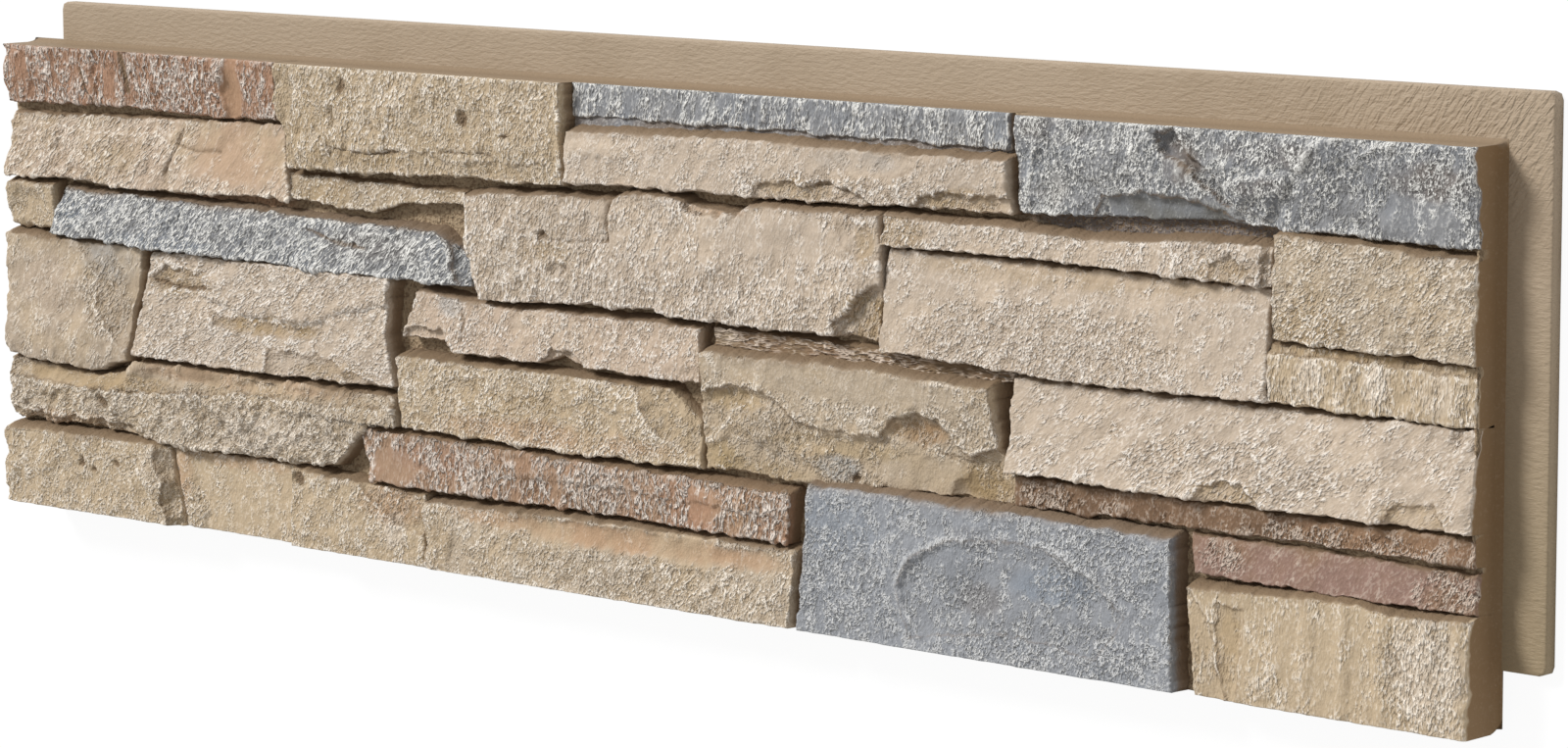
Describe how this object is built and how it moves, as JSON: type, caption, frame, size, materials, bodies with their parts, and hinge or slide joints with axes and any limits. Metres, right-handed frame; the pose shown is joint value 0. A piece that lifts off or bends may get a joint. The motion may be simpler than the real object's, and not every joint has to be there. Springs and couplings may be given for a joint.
{
  "type": "faux stone wall panel",
  "caption": "Interlocking faux stone siding panel: a moulded foam field of stacked ledge stones on a thin back plate that laps under the next panels at the top and right.",
  "frame": {"origin": "middle of the overall length and height, on the flat back", "axes": "+X along the panel to the right as hung on a wall, +Y up the panel as hung, +Z out of the stone face"},
  "size_m": [1.136, 0.312, 0.0398],
  "materials": {
    "painted_foam": "rigid foam, hand-painted matt in beige, brown and slate blue, with dry-brushed pale highlights and dark joints"
  },
  "bodies": {
    "root": {"stone_panel": "painted_foam"}
  },
  "joints": []
}
